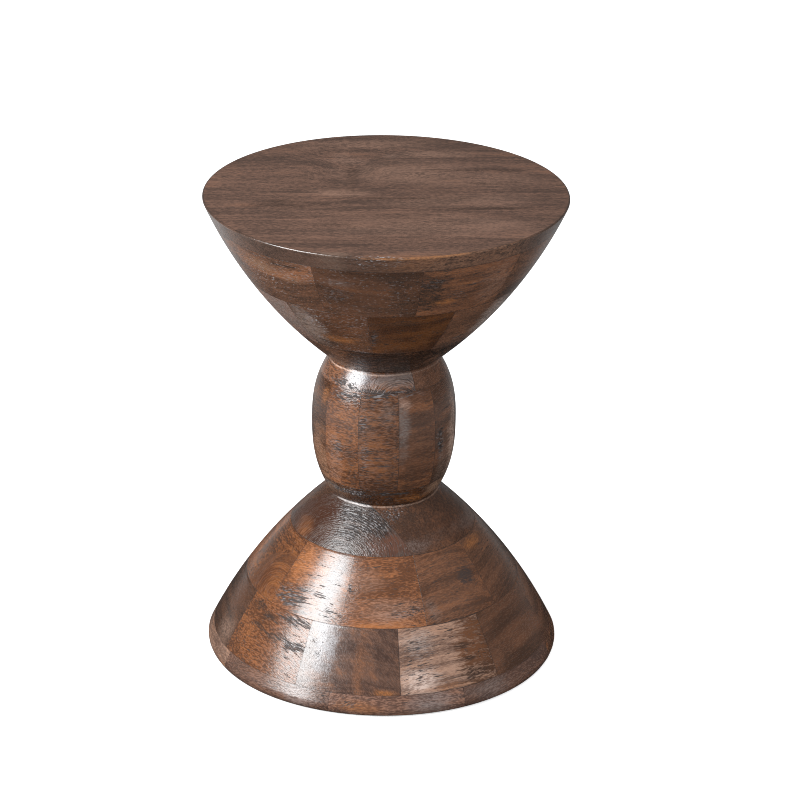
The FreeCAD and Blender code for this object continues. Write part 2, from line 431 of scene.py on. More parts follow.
def woodMaterial(name, recipe, layout):
    wood = {**plainWood, **recipe}
    dark, light, accent = (opaque([part * wood["deep"] for part in wood[key]]) for key in toneNames)
    material, tree, shader = newMaterial(name)
    objectPlace = placeOf(tree)
    # the piece's own axes: x out of its face, y along the grain, z across it
    own = turnedTo(tree, objectPlace, layout["turn"], layout["shift"])
    shaken = random.Random(wood["seed"])
    lean = math.radians(shaken.uniform(-1.5, 1.5))
    offset = tuple(shaken.uniform(3, 30) for axis in range(3))
    grain = turnedTo(tree, own, (math.radians(-wood["tilt"]), 0, lean), offset)

    # the grain's flow: slow waves, then rings round a pith, bent by knots
    wander = noiseAt(tree, grain, *noises["wander"])
    drag = noiseAt(tree, grain, *noises["drag"], output=1)
    drag = vectorMath(tree, "SUBTRACT", drag, (0.5, 0.5, 0.5))
    ringCentre = (layout["face"] + wood["pith"][0] * mm, 0, wood["pith"][1] * mm)
    fromPith = vectorMath(tree, "MULTIPLY", own, (1, 0, 1))
    rho = lengthOf(tree, vectorMath(tree, "SUBTRACT", fromPith, ringCentre))
    wave = (wander - 0.5) * (wood["waver"] * 5 * mm)
    for across, height, wide, tall, lift in wood["knots"]:
        near = lengthOf(tree, ovalRound(tree, own, layout["spot"](across, height), wide, tall))
        wave = wave + smooth(tree, near, 0.0, 1.6, 1.0, 0.0) * (lift * mm)
    rho = rho + wave
    flow = vectorMath(tree, "ADD", grain, joined(tree, wave * 0.3, 0.0, wave))
    out, along, across = grainMix["dragBend"]
    flow = vectorMath(tree, "MULTIPLY_ADD", drag, (out, along, across * wood["curl"]), flow)
    if wood["eye"]:
        angle, height, eyeReach = wood["eye"]
        x, y, z = layout["point"](angle, height)
        fromEye = vectorMath(tree, "MULTIPLY_ADD", own, (1, 1, 1.2), (-x, -y, -z * 1.2))
        fromEye = vectorMath(tree, "MULTIPLY_ADD", drag, grainMix["eyeBend"], fromEye)
        reach = lengthOf(tree, fromEye)
        around = vectorMath(tree, "MULTIPLY_ADD", own, (0.15, 1.6, 0), offset)
        around = vectorMath(tree, "ADD", around, joined(tree, 0.0, 0.0, reach * 1.25))
        eyed = smooth(tree, reach, eyeReach * 0.75 * mm, eyeReach * 1.25 * mm, 1.0, 0.0)
        flow = addNode(tree, "ShaderNodeMix", {"data_type": "VECTOR"}, {0: eyed, 4: flow, 5: around}, 1)
        rho = rho + (reach - rho) * eyed
    gap = wood["ringGap"] * mm
    bands, rings = (noiseAlong(tree, rho * (often / gap), detail, roughness)
                    for often, detail, roughness in (grainMix["bands"], grainMix["rings"]))
    fibre = noiseAt(tree, flow, *noises["fibre"])
    grit = smooth(tree, noiseAt(tree, flow, *noises["speck"]), 0.34, 0.66) - 0.5
    cloud = noiseAt(tree, flow, *noises["cloud"])
    feather = noiseAt(tree, flow, *noises["feather"]) - 0.5
    ridge = noiseAt(tree, flow, *noises["ridge"])
    if wood["eye"]:
        share = grainMix["arcs"]
        arcs = reach * share["reach"] + cloud * share["cloud"] + (fibre - 0.5) * share["fibre"]
        arcs = mathNode(tree, "SINE", arcs)
        ridge = ridge + (arcs * share["ridge"] - (ridge - 0.5) * 0.2) * eyed
        grit = grit + (arcs * share["grit"] - grit * 0.2) * eyed

    # the stain
    share, depth = grainMix["tone"], wood["ringDepth"]
    tone = (smooth(tree, bands, 0.30, 0.70) * share["bands"]
            + smooth(tree, rings, 0.32, 0.68) * (share["rings"] * depth)
            + (cloud - 0.5) * share["cloud"] + feather * share["feather"]
            + (fibre - 0.5) * (share["fibre"] * wood["fibre"]) + grit * (share["grit"] * wood["grit"])
            + (0.30 - 0.27 * depth))
    colour = mixColour(tree, smooth(tree, tone, -0.05, 1.0), dark, light)
    share = grainMix["warm"]
    warm = (cloud + (rings - 0.5) * share["rings"] + feather * share["feather"]
            + (fibre - 0.5) * share["fibre"] + grit * share["grit"])
    warm = smooth(tree, warm, 0.64 - 0.35 * wood["accentShare"], 0.90 - 0.30 * wood["accentShare"])
    colour = mixColour(tree, warm * min(1.0, wood["accentShare"] * 1.8), colour, accent)

    # dragged patches of another stain depth; the darkest ones are torn grain, light-grey ones add painted
    # glint specks, and some recipes place patches as painted highlights, sheen or shade
    streak = smooth(tree, fibre + grit * 0.25, 0.25, 0.72)
    torn = wood["torn"]
    # painted highlight: the share of light-grey glint specks, from the recipe and from light-grey patches
    paintedGlintShare = wood["glints"] * 0.8
    for across, height, wide, tall, tint, amount in wood["patches"]:
        near = ovalRound(tree, own, layout["spot"](across, height), wide, tall)
        near = vectorMath(tree, "MULTIPLY_ADD", drag, (0, 1.3, 1.9), near)
        near = lengthOf(tree, near) + (fibre - 0.5) * 1.5
        near = smooth(tree, near, 0.25, 1.35, amount, 0.0)
        if tint == paintedGlintTone:
            paintedGlintShare = near + paintedGlintShare
            continue
        if tint == coalTint:
            torn = near + torn
            near = near * (0.15 + 0.45 * (1 - streak))
        else:
            near = near * (0.40 + 1.15 * (streak if sum(tint) > 0.3 else 1 - streak))
        colour = mixColour(tree, near, colour, opaque(tint))

    # open grain: dashes in clusters, fine pores, and painted glint specks, light grey mixed into the colour
    # on torn fibres and scattered sparks
    torn = mathNode(tree, "MINIMUM", torn, 1.0)
    limit = 0.70 - 0.12 * wood["dashes"] - 0.205 * torn
    dash = noiseAt(tree, flow, *noises["dash"]) + (cloud - 0.5) * 0.25 - limit
    dashes = smooth(tree, dash, 0.0, 0.045)
    colour = mixColour(tree, dashes * 0.85, colour, opaque(coalTint))
    poreSpot = vectorMath(tree, "MULTIPLY", flow, grainMix["poreCells"])
    poreCell = addNode(tree, "ShaderNodeTexVoronoi", {"voronoi_dimensions": "3D"},
                       {"Vector": poreSpot, "Scale": 1.0, "Randomness": 1.0})
    porePick = addNode(tree, "ShaderNodeSeparateColor", {}, {0: otherOutput(poreCell, "Color")})
    pores = smooth(tree, poreCell, *grainMix["poreSize"], 1.0, 0.0)
    pores = pores * smooth(tree, porePick, 1.0 - wood["pores"], 1.08 - wood["pores"])
    colour = mixColour(tree, pores * 0.40, colour, opaque(coalTint))
    paintedGlintMask = smooth(tree, ridge + (cloud - 0.5) * 0.2, 0.55, 0.62) * (0.32 * torn)
    spark = noiseAt(tree, flow, *noises["spark"])
    paintedGlintMask = paintedGlintMask + smooth(tree, spark + (cloud - 0.5) * 0.4, 0.68, 0.74) * paintedGlintShare
    colour = mixColour(tree, paintedGlintMask, colour, opaque(paintedGlintTone))

    # dark glue lines, and how the lacquer shines
    seam = smooth(tree, layout["edge"](tree, own) + (fibre - 0.5) * 0.0006, -0.0006, -0.0001)
    colour = mixColour(tree, seam * wood["seam"], colour, opaque(coalTint))
    share = grainMix["rough"]
    rough = (wood["shine"] + pores * share["pores"] + dashes * share["dashes"] + grit * share["grit"]
             + (cloud - 0.5) * share["cloud"])
    coat = wood["lacquer"] * (1 - 0.9 * dashes)
    if "rim" in layout:
        turned, line, worn, warmSide, joint = layout["rim"](tree, objectPlace)
        colour = mixColour(tree, turned * 0.50, colour, opaque(turnedRim["sideTone"]))
        colour = mixColour(tree, warmSide * streak * 0.7, colour, opaque(turnedRim["warmTone"]))
        colour = mixColour(tree, worn * (0.2 + 0.5 * streak), colour, opaque(turnedRim["wornTone"]))
        colour = mixColour(tree, joint * 0.6, colour, opaque(coalTint))
        rough = rough - turned * (wood["shine"] - turnedRim["shine"])
        coat = coat + turned * 0.25 + line * 0.6

    # relief
    height = ((fibre - 0.5) * 0.13 + grit * (0.055 + 0.07 * torn) + (ridge - 0.5) * (0.06 + 0.50 * torn)
              - pores * 0.05 - dashes * (0.10 + 0.06 * torn))
    height = noiseAt(tree, own, *noises["swell"]) * 0.30 + height * wood["relief"]
    if wood["ripple"]:
        height = height + noiseAt(tree, own, *noises["ripple"]) * (0.22 * wood["ripple"])
    feed(tree, shader, {"Base Color": colour, "Roughness": rough, "Coat Weight": coat,
                        "Normal": bumpFrom(tree, height), "Specular IOR Level": 0.5,
                        "Coat Roughness": grainMix["coatRoughness"]})
    return material


def blockLayout(start, sweep, low, high):  # for a block of a turned course
    middle = start + sweep / 2
    half = math.radians(sweep / 2)
    centre = (low + high) / 2

    def spot(angle, height):
        turn = math.radians(angle - middle)
        return radiusAt(height) * math.sin(turn) * mm, (height - centre) * mm

    def point(angle, height):  # the same spot in all three axes
        turn = math.radians(angle - middle)
        return radiusAt(height) * math.cos(turn) * mm, *spot(angle, height)

    def edge(tree, own):  # 0 on a joint, less inside the block
        out, across, up = axesOf(tree, own)
        joint = mathNode(tree, "ABSOLUTE", across) * math.cos(half) - out * math.sin(half)
        level = mathNode(tree, "ABSOLUTE", up) - (high - low) / 2 * mm
        return mathNode(tree, "MAXIMUM", joint, level)

    return {
        "turn": (0, 0, math.radians(90 - middle)),
        "shift": (0, 0, -centre * mm),
        "face": radiusAt(centre) * mm,
        "spot": spot,
        "point": point,
        "edge": edge,
    }


def plankLayout(low, high, turn):  # for a plank of the top, grain along X
    axes = Matrix(((0, 0, 1), (1, 0, 0), (0, 1, 0))) @ Matrix.Rotation(math.radians(-turn), 3, "Z")
    centre = (low + high) / 2

    def spot(across, height):  # here: mm to the right and mm to the back
        return across * mm, (height - centre) * mm

    def edge(tree, own):
        up = axesOf(tree, own)[2]
        return mathNode(tree, "ABSOLUTE", up) - (high - low) / 2 * mm

    def rim(tree, objectPlace):  # the turned side, and the worn stretch of its upper edge
        away = lengthOf(tree, vectorMath(tree, "MULTIPLY", objectPlace, (1, 1, 0)))
        right, _, up = axesOf(tree, objectPlace)
        turned = mathNode(tree, "MAXIMUM", smooth(tree, away, *turnedRim["side"]),
                          smooth(tree, up, *turnedRim["shoulder"]))
        line = smooth(tree, away, *turnedRim["line"]) * smooth(tree, up, *turnedRim["lineHeight"])
        (wornIn, wornOut), (warmIn, warmOut) = turnedRim["worn"], turnedRim["warm"]
        worn = line * smooth(tree, right, *wornIn) * smooth(tree, right, *wornOut)
        warmSide = turned * smooth(tree, right, *warmIn) * smooth(tree, right, *warmOut)
        return turned, line, worn, warmSide, turned * smooth(tree, up, *turnedRim["joint"])

    return {
        "rim": rim,
        "turn": tuple(axes.to_euler("XYZ")),
        "shift": (0, 0, -centre * mm),
        "face": board["high"] * mm,
        "spot": spot,
        "edge": edge,
    }


# stains that several blocks share

stain = {  # dark, light and accent tones, linear
    "orange": ((0.098, 0.038, 0.017), (0.258, 0.095, 0.036), (0.360, 0.131, 0.040)),
    "umber": ((0.060, 0.028, 0.016), (0.160, 0.071, 0.038), (0.258, 0.095, 0.034)),
    "chestnut": ((0.074, 0.032, 0.017), (0.201, 0.084, 0.041), (0.309, 0.114, 0.038)),
    "plum": ((0.057, 0.030, 0.022), (0.144, 0.076, 0.052), (0.206, 0.087, 0.042)),
    "pink": ((0.134, 0.074, 0.052), (0.371, 0.218, 0.151), (0.350, 0.157, 0.080)),
    "charcoal": ((0.035, 0.023, 0.019), (0.103, 0.068, 0.055), (0.154, 0.081, 0.049)),
}
greyTint = (0.150, 0.125, 0.115)
orangeTint = (0.330, 0.125, 0.038)
umberTint = (0.050, 0.027, 0.018)
pinkTint = (0.300, 0.185, 0.140)
paleTint = (0.270, 0.155, 0.110)


def stained(stainName, **others):
    return {**dict(zip(toneNames, stain[stainName])), **others}


recipes = {
    "top_wide_block_08": stained("umber", seed=11, deep=0.8),
    "top_wide_block_09": stained(
        "umber", seed=12, deep=1.12, accentShare=0.25, grit=0.35, pith=(-60, -60), ringGap=7, glints=0.3,
        patches=[
            (-46, 478, 28, 8, (0.20, 0.112, 0.066), 0.5), (-34, 471, 18, 8, (0.20, 0.110, 0.064), 0.25),
            (-44, 462, 14, 9, paintedGlintTone, 0.25), (-34, 448, 20, 6, umberTint, 0.5),
            (-36, 487, 40, 4, umberTint, 0.8)]),
    "top_wide_block_10": stained(
        "umber", seed=13, deep=0.68, grit=0.25, fibre=0.32, accentShare=0.2, pith=(-90, 30), glints=0.2,
        patches=[
            (-17, 460, 16, 6, coalTint, 0.4), (-19, 476, 12, 8, paintedGlintTone, 0.12),
            (2, 485, 30, 6, umberTint, 0.7), (6, 462, 16, 30, umberTint, 0.6),
            (-2, 443, 26, 8, umberTint, 0.6), (-16, 476, 14, 5, greyTint, 0.3)]),
    "top_wide_block_01": stained(
        "chestnut", seed=14, deep=1.02, grit=0.25, fibre=0.38, accentShare=0.2, pith=(-50, -30), ringGap=6,
        dashes=0.5, patches=[
            (15, 464, 24, 34, umberTint, 0.8), (42, 464, 20, 34, paleTint, 0.35),
            (16, 478, 14, 7, coalTint, 0.4), (27, 458, 14, 6, coalTint, 0.45),
            (23, 450, 14, 4, orangeTint, 0.6), (33, 470, 20, 3, coalTint, 0.35)]),
    "top_wide_block_02": stained(
        "umber", seed=15, accentShare=0.1, pith=(-120, 10), deep=1.05, patches=[
            (76, 464, 18, 34, umberTint, 0.5)]),
    "top_narrow_block_09": stained(
        "plum", seed=21, glints=0.3, accentShare=0.1, deep=2.4, patches=[
            (-50, 412, 34, 34, (0.165, 0.135, 0.120), 0.6), (-78, 404, 14, 34, umberTint, 0.5)]),
    "top_narrow_block_10": stained(
        "chestnut", seed=22, glints=0.3, accentShare=0.2, deep=0.55, lacquer=0.35, grit=0.4, patches=[
            (-38, 404, 19, 34, (0.215, 0.148, 0.118), 0.9), (-31, 408, 12, 30, paintedGlintTone, 0.5),
            (-22, 392, 26, 8, orangeTint, 0.45), (-26, 384, 24, 3, umberTint, 0.8),
            (-36, 420, 16, 12, coalTint, 0.35)]),
    "top_narrow_block_01": stained(
        "orange", seed=23, deep=0.32, lacquer=0.2, accentShare=0.5, dashes=0.4, grit=0.2, fibre=0.28,
        patches=[
            (-5, 400, 5, 14, coalTint, 0.5), (8, 422, 34, 3, umberTint, 0.6),
            (20, 402, 10, 24, (0.120, 0.045, 0.015), 0.5)]),
    "top_narrow_block_02": stained(
        "umber", seed=24, accentShare=0.1, deep=1.12, grit=0.15, fibre=0.25, patches=[
            (60, 404, 24, 34, (0.34, 0.26, 0.225), 1.0), (42, 388, 10, 4, coalTint, 0.6)]),
    "top_neck_block": stained(
        "umber", seed=31, accentShare=0.05, seam=0.0, lacquer=0.0, grit=0.1, fibre=0.12, ringDepth=0.2,
        patches=[
            # painted shade: near black across the neck's front, where the cone above shades it
            (6, 356, 58, 90, (0.010, 0.004, 0.002), 1.4)]),
    "barrel_top_cap": stained(
        "chestnut", seed=41, accentShare=0.2, pith=(-10, -10), ringGap=3, grit=1.8, fibre=0.8, glints=0.2,
        ringDepth=0.9, eye=(13, 308, 30), deep=0.98, relief=1.3, lacquer=1.0, dashes=0.5, patches=[
            (-40, 320, 18, 3.5, coalTint, 0.9), (-12, 317, 30, 2.5, coalTint, 0.9),
            # painted highlight: the light line at 332.4 mm along the neck's contact
            (15, 326, 9, 6, (0.30, 0.22, 0.19), 0.5), (-30, 332.4, 50, 0.9, (0.62, 0.40, 0.30), 0.9),
            (12, 330, 9, 5, greyTint, 0.5), (20, 324, 7, 6, coalTint, 0.4),
            # painted sheen: light grey at -24 degrees under the lamp's highlight, to cool it
            (-24, 327, 15, 9, (0.20, 0.185, 0.20), 0.8)]),
    "barrelTopCap2": stained(
        "umber", seed=42, accentShare=0.15, deep=1.15, patches=[
            # painted highlight: a dim light line at 332.4 mm along the neck's contact
            (-30, 332.4, 60, 0.8, (0.30, 0.19, 0.14), 0.4)]),
    "barrel_stave_08": stained("chestnut", seed=50, accentShare=0.2, ripple=1.0, grit=0.8, deep=0.8),
    "barrel_stave_09": stained(
        "orange", seed=51, accentShare=0.3, ripple=1.0, grit=0.9, deep=0.34, seam=0.1, lacquer=0.3,
        patches=[
            (-64, 228, 26, 32, (0.235, 0.118, 0.068), 0.9), (-58, 302, 6, 9, orangeTint, 0.4)]),
    "barrel_stave_10": stained(
        "orange", seed=52, accentShare=0.3, ripple=1.0, grit=1.1, deep=0.76, torn=0.12, lacquer=0.4,
        patches=[
            (-45, 226, 12, 36, (0.30, 0.16, 0.105), 0.35), (-27, 228, 7, 44, umberTint, 0.45),
            (-40, 248, 12, 12, coalTint, 0.45), (-33, 310, 24, 7, coalTint, 0.9)]),
    "barrel_stave_11": stained(
        "chestnut", seed=53, accentShare=0.3, ripple=1.0, grit=1.1, deep=0.72, torn=0.14, seam=0.8,
        patches=[
            (7, 236, 8, 34, umberTint, 0.4), (3, 294, 9, 16, greyTint, 0.3),
            (-17, 285, 6, 10, coalTint, 0.5), (-5, 313, 18, 4, coalTint, 0.9),
            (-15, 246, 5, 14, coalTint, 0.4)]),
    "barrel_stave_01": stained(
        "chestnut", seed=54, accentShare=0.25, ripple=0.6, grit=0.3, fibre=0.4, deep=0.83, patches=[
            (15, 282, 8, 36, greyTint, 0.55), (18, 305, 9, 7, pinkTint, 0.6),
            (21, 222, 9, 24, umberTint, 0.4), (40, 225, 18, 40, umberTint, 0.2),
            (24, 313, 18, 3, coalTint, 0.6)]),
    "barrel_stave_02": stained(
        "umber", seed=55, accentShare=0.2, ripple=0.3, grit=0.3, deep=0.78, seam=0.8, patches=[
            (52, 254, 6, 18, coalTint, 1.0), (80, 232, 22, 52, (0.40, 0.27, 0.21), 1.0),
            (56, 226, 9, 26, (0.17, 0.115, 0.09), 0.4)]),
    "barrel_stave_03": stained(
        "umber", seed=56, accentShare=0.1, ripple=0.6, deep=1.1, patches=[
            (84, 226, 14, 22, (0.28, 0.18, 0.14), 0.7)]),
    "barrel_bottom_cap": stained(
        "orange", seed=61, accentShare=0.2, glints=0.1, deep=0.28, grit=1.0, dashes=0.6, lacquer=0.05,
        relief=1.3, patches=[
            (32, 191, 22, 5, orangeTint, 0.45), (-36, 199, 22, 4, coalTint, 0.9),
            (-34, 200, 16, 4, paintedGlintTone, 0.5), (2, 201, 30, 2.5, umberTint, 0.9),
            (2, 201, 22, 2, coalTint, 0.35), (58, 198, 18, 10, (0.24, 0.14, 0.09), 0.8),
            (-62, 196, 18, 10, (0.20, 0.12, 0.08), 0.6)]),
    "base_neck_block": stained(
        "charcoal", seed=71, accentShare=0.2, pith=(-60, 0), ringGap=3.5, ringDepth=1.0, dashes=0.1,
        grit=1.2, fibre=0.9, waver=4, relief=1.4, deep=0.92, eye=(-27, 132, 84), lacquer=0.15, patches=[
            (4, 152, 24, 12, (0.110, 0.046, 0.028), 0.9), (-72, 162, 34, 40, (0.052, 0.018, 0.008), 1.0),
            (-50, 166, 18, 24, (0.052, 0.019, 0.010), 1.0), (-42, 151, 12, 9, (0.060, 0.026, 0.016), 0.8),
            (-64, 149, 14, 9, (0.20, 0.080, 0.034), 0.6), (-20, 170, 26, 18, coalTint, 0.9),
            (-26, 152, 17, 9, coalTint, 0.30), (-8, 150, 18, 7, coalTint, 0.45),
            # painted highlight: the pale line at 182.4 mm just under the barrel's edge
            (0, 172, 13, 12, coalTint, 0.6), (-26, 182.4, 30, 0.9, (0.60, 0.54, 0.52), 1.0)]),
    "plainNeckPlank": stained(
        "umber", seed=73, accentShare=0.15, grit=0.6, deep=0.82, lacquer=0.2, shine=0.30, patches=[
            (12, 168, 26, 30, umberTint, 0.7), (19, 149, 12, 8, (0.16, 0.115, 0.100), 0.5),
            # painted highlight: the light line at 182.4 mm just under the barrel's edge
            (40, 160, 26, 20, (0.055, 0.024, 0.014), 0.4), (6, 182.4, 20, 0.8, (0.30, 0.19, 0.14), 1.0),
            (4, 172, 6, 16, coalTint, 0.5), (2, 170, 8, 20, paintedGlintTone, 0.5)]),
    "base_narrow_block_08": stained(
        "orange", seed=81, pith=(-18, -25), ringGap=5, ringDepth=1.0, deep=0.70, grit=1.0, seam=0.8,
        eye=(-56, 92, 42), patches=[
            (-80, 112, 22, 30, umberTint, 0.5), (-68, 96, 22, 16, (0.090, 0.032, 0.013), 1.0)]),
    "base_narrow_block_09": stained(
        "orange", seed=82, accentShare=0.4, pith=(-90, 60), lacquer=0.68, dashes=0.5, grit=0.8, relief=0.6,
        patches=[
            (-43, 95, 22, 8, coalTint, 1.0), (-22, 91, 14, 8, coalTint, 0.9),
            (-34, 105, 26, 3, coalTint, 0.8), (-37, 86, 16, 4, umberTint, 0.8),
            # painted sheen: the grey at -25 degrees sits under the lamp's highlight to cool it
            (-45, 127, 16, 18, (0.40, 0.155, 0.055), 0.5), (-25, 116, 11, 40, (0.150, 0.125, 0.120), 0.9),
            (-48, 112, 8, 14, (0.34, 0.120, 0.036), 0.3)]),
    "base_narrow_block_10": stained(
        "orange", seed=83, accentShare=0.3, pith=(-60, -40), deep=1.05, dashes=0.5, grit=0.8, relief=1.1,
        lacquer=0.6, knots=[(-15, 115, 7, 5, 6)], patches=[
            # painted sheen: the pink and pale patches lighten the block where a soft reflection falls
            (4, 96, 34, 14, pinkTint, 0.40), (-8, 124, 26, 10, paleTint, 0.30),
            (-16, 115, 4, 3, coalTint, 0.9), (10, 96, 20, 4, coalTint, 0.6)]),
    "base_narrow_block_01": stained(
        "chestnut", seed=84, accentShare=0.15, pith=(-70, 30), deep=0.92, seam=0.8, knots=[
            (47, 108, 20, 14, 10)], patches=[
            (23, 95, 8, 10, greyTint, 0.3), (46, 116, 11, 9, (0.035, 0.026, 0.025), 0.8),
            (42, 112, 44, 34, (0.140, 0.088, 0.068), 0.15)]),
    "base_narrow_block_02": stained(
        "umber", seed=85, accentShare=0.15, grit=0.3, patches=[(66, 136, 20, 5, orangeTint, 0.5)]),
    "base_wide_block_08": stained(
        "umber", seed=91, accentShare=0.1, deep=0.62, patches=[
            (-76, 68, 22, 14, (0.085, 0.033, 0.015), 0.8), (-72, 34, 20, 14, (0.20, 0.12, 0.085), 0.6)]),
    "base_wide_block_09": stained(
        "orange", seed=92, accentShare=0.3, pith=(-40, -50), tilt=-8, waver=8, deep=0.82, grit=1.1,
        relief=1.4, dashes=0.6, patches=[
            (-37, 76, 20, 6, coalTint, 1.0), (-34, 55, 20, 6, coalTint, 1.0),
            (-58, 76, 10, 5, umberTint, 1.0), (-51, 71, 10, 4, umberTint, 1.0),
            (-54, 59, 12, 3, umberTint, 1.0), (-44, 57.5, 14, 3.5, umberTint, 1.0)]),
    "base_wide_block_10": stained(
        "plum", seed=93, grit=0.4, tilt=-55, lacquer=0.80, dashes=0.1, deep=0.95, patches=[
            # painted sheen: the light grey at -22 degrees stands in for the lamp's sheen
            (-24, 55, 5, 4, coalTint, 0.7), (-22, 67, 13, 28, (0.235, 0.215, 0.222), 0.9),
            (1, 25, 14, 4, orangeTint, 0.6), (-8, 44, 6, 30, (0.22, 0.088, 0.038), 0.4),
            (-26, 66, 6, 4, coalTint, 0.6)]),
    "base_wide_block_01": stained(
        "pink", seed=94, accentShare=0.25, dashes=0.5, ringDepth=0.9, waver=7, relief=1.4, grit=0.35,
        fibre=0.7, seam=0.9, curl=0.25, pores=0.15, patches=[
            (43, 52, 34, 44, (0.060, 0.025, 0.012), 1.0), (40, 52, 28, 40, (0.080, 0.034, 0.017), 0.7),
            # painted sheen: the light greys at 14 degrees, 70 and 34 mm up, stand in for sheen on the left
            # half
            (14, 70, 18, 12, (0.36, 0.29, 0.26), 0.4), (14, 60, 22, 18, coalTint, 0.36),
            (18, 36, 26, 9, coalTint, 0.30), (14, 34, 20, 14, (0.56, 0.42, 0.36), 0.8),
            (22, 26, 46, 3, orangeTint, 0.35), (36, 56, 19, 24, (0.140, 0.054, 0.022), 0.95),
            (34, 34, 17, 10, umberTint, 0.7), (32, 60, 12, 3, umberTint, 0.7),
            (33, 48, 14, 2.5, umberTint, 0.7)]),
    "base_wide_block_02": stained(
        "umber", seed=95, accentShare=0.1, grit=0.2, fibre=0.3, dashes=0.1, ringDepth=0.3, patches=[
            (50, 36, 16, 16, umberTint, 0.4)]),
    "foot_7": stained(
        "plum", seed=101, accentShare=0.15, deep=1.25, grit=1.0, lacquer=0.65, patches=[
            (-28, 12, 20, 14, (0.30, 0.23, 0.21), 0.5), (-54, 12, 16, 14, (0.085, 0.048, 0.034), 0.5)]),
    "foot_0": stained(
        "plum", seed=102, accentShare=0.2, deep=1.7, grit=1.0, patches=[
            (-8, 12, 26, 7, orangeTint, 0.45), (-11, 13, 8, 4, coalTint, 0.6),
            (17, 12, 26, 16, (0.215, 0.180, 0.172), 0.5)]),
    "foot_1": stained(
        "plum", seed=103, accentShare=0.1, deep=1.3, patches=[(38, 12, 26, 16, (0.19, 0.145, 0.13), 0.4)]),
    "foot_6": stained("pink", seed=104, accentShare=0.4, deep=0.88),
}


def recipeFor(key):
    if key in recipes:
        return recipes[key]
    chance = random.Random(sum(ord(letter) * (i + 7) for i, letter in enumerate(key)))
    return stained(chance.choice(["orange", "umber", "umber", "chestnut", "chestnut", "plum"]),
                   seed=chance.randint(200, 900), accentShare=chance.uniform(0.05, 0.5),
                   pith=(chance.uniform(-110, -25), chance.uniform(-60, 60)), ringGap=chance.uniform(4, 8),
                   dashes=chance.uniform(0.1, 0.5), ringDepth=chance.uniform(0.4, 0.9))


# the turned courses

courses = {  # heights and bores in mm, the first joint's turn in degrees
    "top_wide_block": {"low": 432.8, "high": 494.0, "bore": 116.0, "count": 10, "turn": 12.0,
                       "slot": "top_ring_wood", "columns": 60},
    "top_narrow_block": {"low": 374.0, "high": 432.8, "bore": 66.5, "count": 10, "turn": -7.0,
                         "slot": "top_ring_wood", "columns": 48},
    "barrel_stave": {"low": 205.0, "high": 316.0, "bore": 46.2, "count": 11, "turn": 12.3,
                     "slot": "barrel_wood", "columns": 22},
    "base_narrow_block": {"low": 83.0, "high": 143.0, "bore": 65.7, "count": 10, "turn": 19.0,
                          "slot": "base_ring_wood", "columns": 48},
    "base_wide_block": {"low": 23.0, "high": 83.0, "bore": 114.3, "count": 10, "turn": 6.5,
                        "slot": "base_ring_wood", "columns": 60},
    "foot": {"low": 2.0, "high": 23.0, "bore": 117.1, "count": 8, "turn": -17.0,
             "slot": "foot_wood", "columns": 72},
}
rowStep = {"course": 2.2, "neck": 2.0, "cap": 1.6, "board": 2.2}  # mm
easedEdge = {"width": 0.08 * mm, "segments": 1, "limit_method": "ANGLE", "angle_limit": math.radians(40)}

for kind, course in courses.items():
    low, high = course["low"], course["high"]
    sweep = 360 / course["count"]
    master = turnedSection(kind, evenRows(low, high, rowStep["course"]), course["bore"])
    spinUp(master, sweep, course["columns"])
    applyModifier(master, "BEVEL", **easedEdge)
    for count in range(course["count"]):
        middle = (course["turn"] + sweep * count + sweep / 2 + 180) % 360 - 180
        start = middle - sweep / 2
        if kind == "foot":
            key, node, name = f"foot_{count}", "foot_ring", f"footBlock{count + 1}"
        else:
            key = node = f"{kind}_{count + 1:02d}"
            words = kind.split("_")
            name = words[0] + "".join(word.title() for word in words[1:]) + f"{count + 1:02d}"
        piece = turnedCopy(master, name, start - 90)
        place(piece, node, recipeFor(key), blockLayout(start, sweep, low, high))
    bpy.data.objects.remove(master)
    print("course", kind, "done")

# the neck above the barrel: one turned block

topNeck = {"low": barrelHigh, "high": 374.0, "start": -190, "columns": 200}
rows = evenRows(topNeck["low"], topNeck["high"], rowStep["neck"])
rows[0] = (neckRadius, topNeck["low"])
neck = turnedSection("topNeck", rows, rodHole)
spinUp(neck, 360, topNeck["columns"])
applyModifier(neck, "BEVEL", **easedEdge)
place(neck, "top_neck_block", recipeFor("top_neck_block"),
      blockLayout(topNeck["start"], 360, topNeck["low"], topNeck["high"]))

# the caps of the barrel, two halves each

caps = {
    "barrel_top_cap": {"name": "barrelTopCap", "low": 316.0, "high": barrelHigh, "seam": 29.0},
    "barrel_bottom_cap": {"name": "barrelBottomCap", "low": barrelLow, "high": 205.0, "seam": 104.0},
}
capColumns = 100
for node, cap in caps.items():
    low, high = cap["low"], cap["high"]
    half = turnedSection(node, evenRows(low, high, rowStep["cap"]), rodHole)
    spinUp(half, 180, capColumns)
    applyModifier(half, "BEVEL", **easedEdge)
    for count, start in enumerate((cap["seam"] - 180, cap["seam"])):
        piece = turnedCopy(half, f"{cap['name']}{count + 1}", start - 90)
        place(piece, node, recipeFor(piece.name if piece.name in recipes else node),
              blockLayout(start, 180, low, high))
    bpy.data.objects.remove(half)

# the neck of the base: three planks side by side

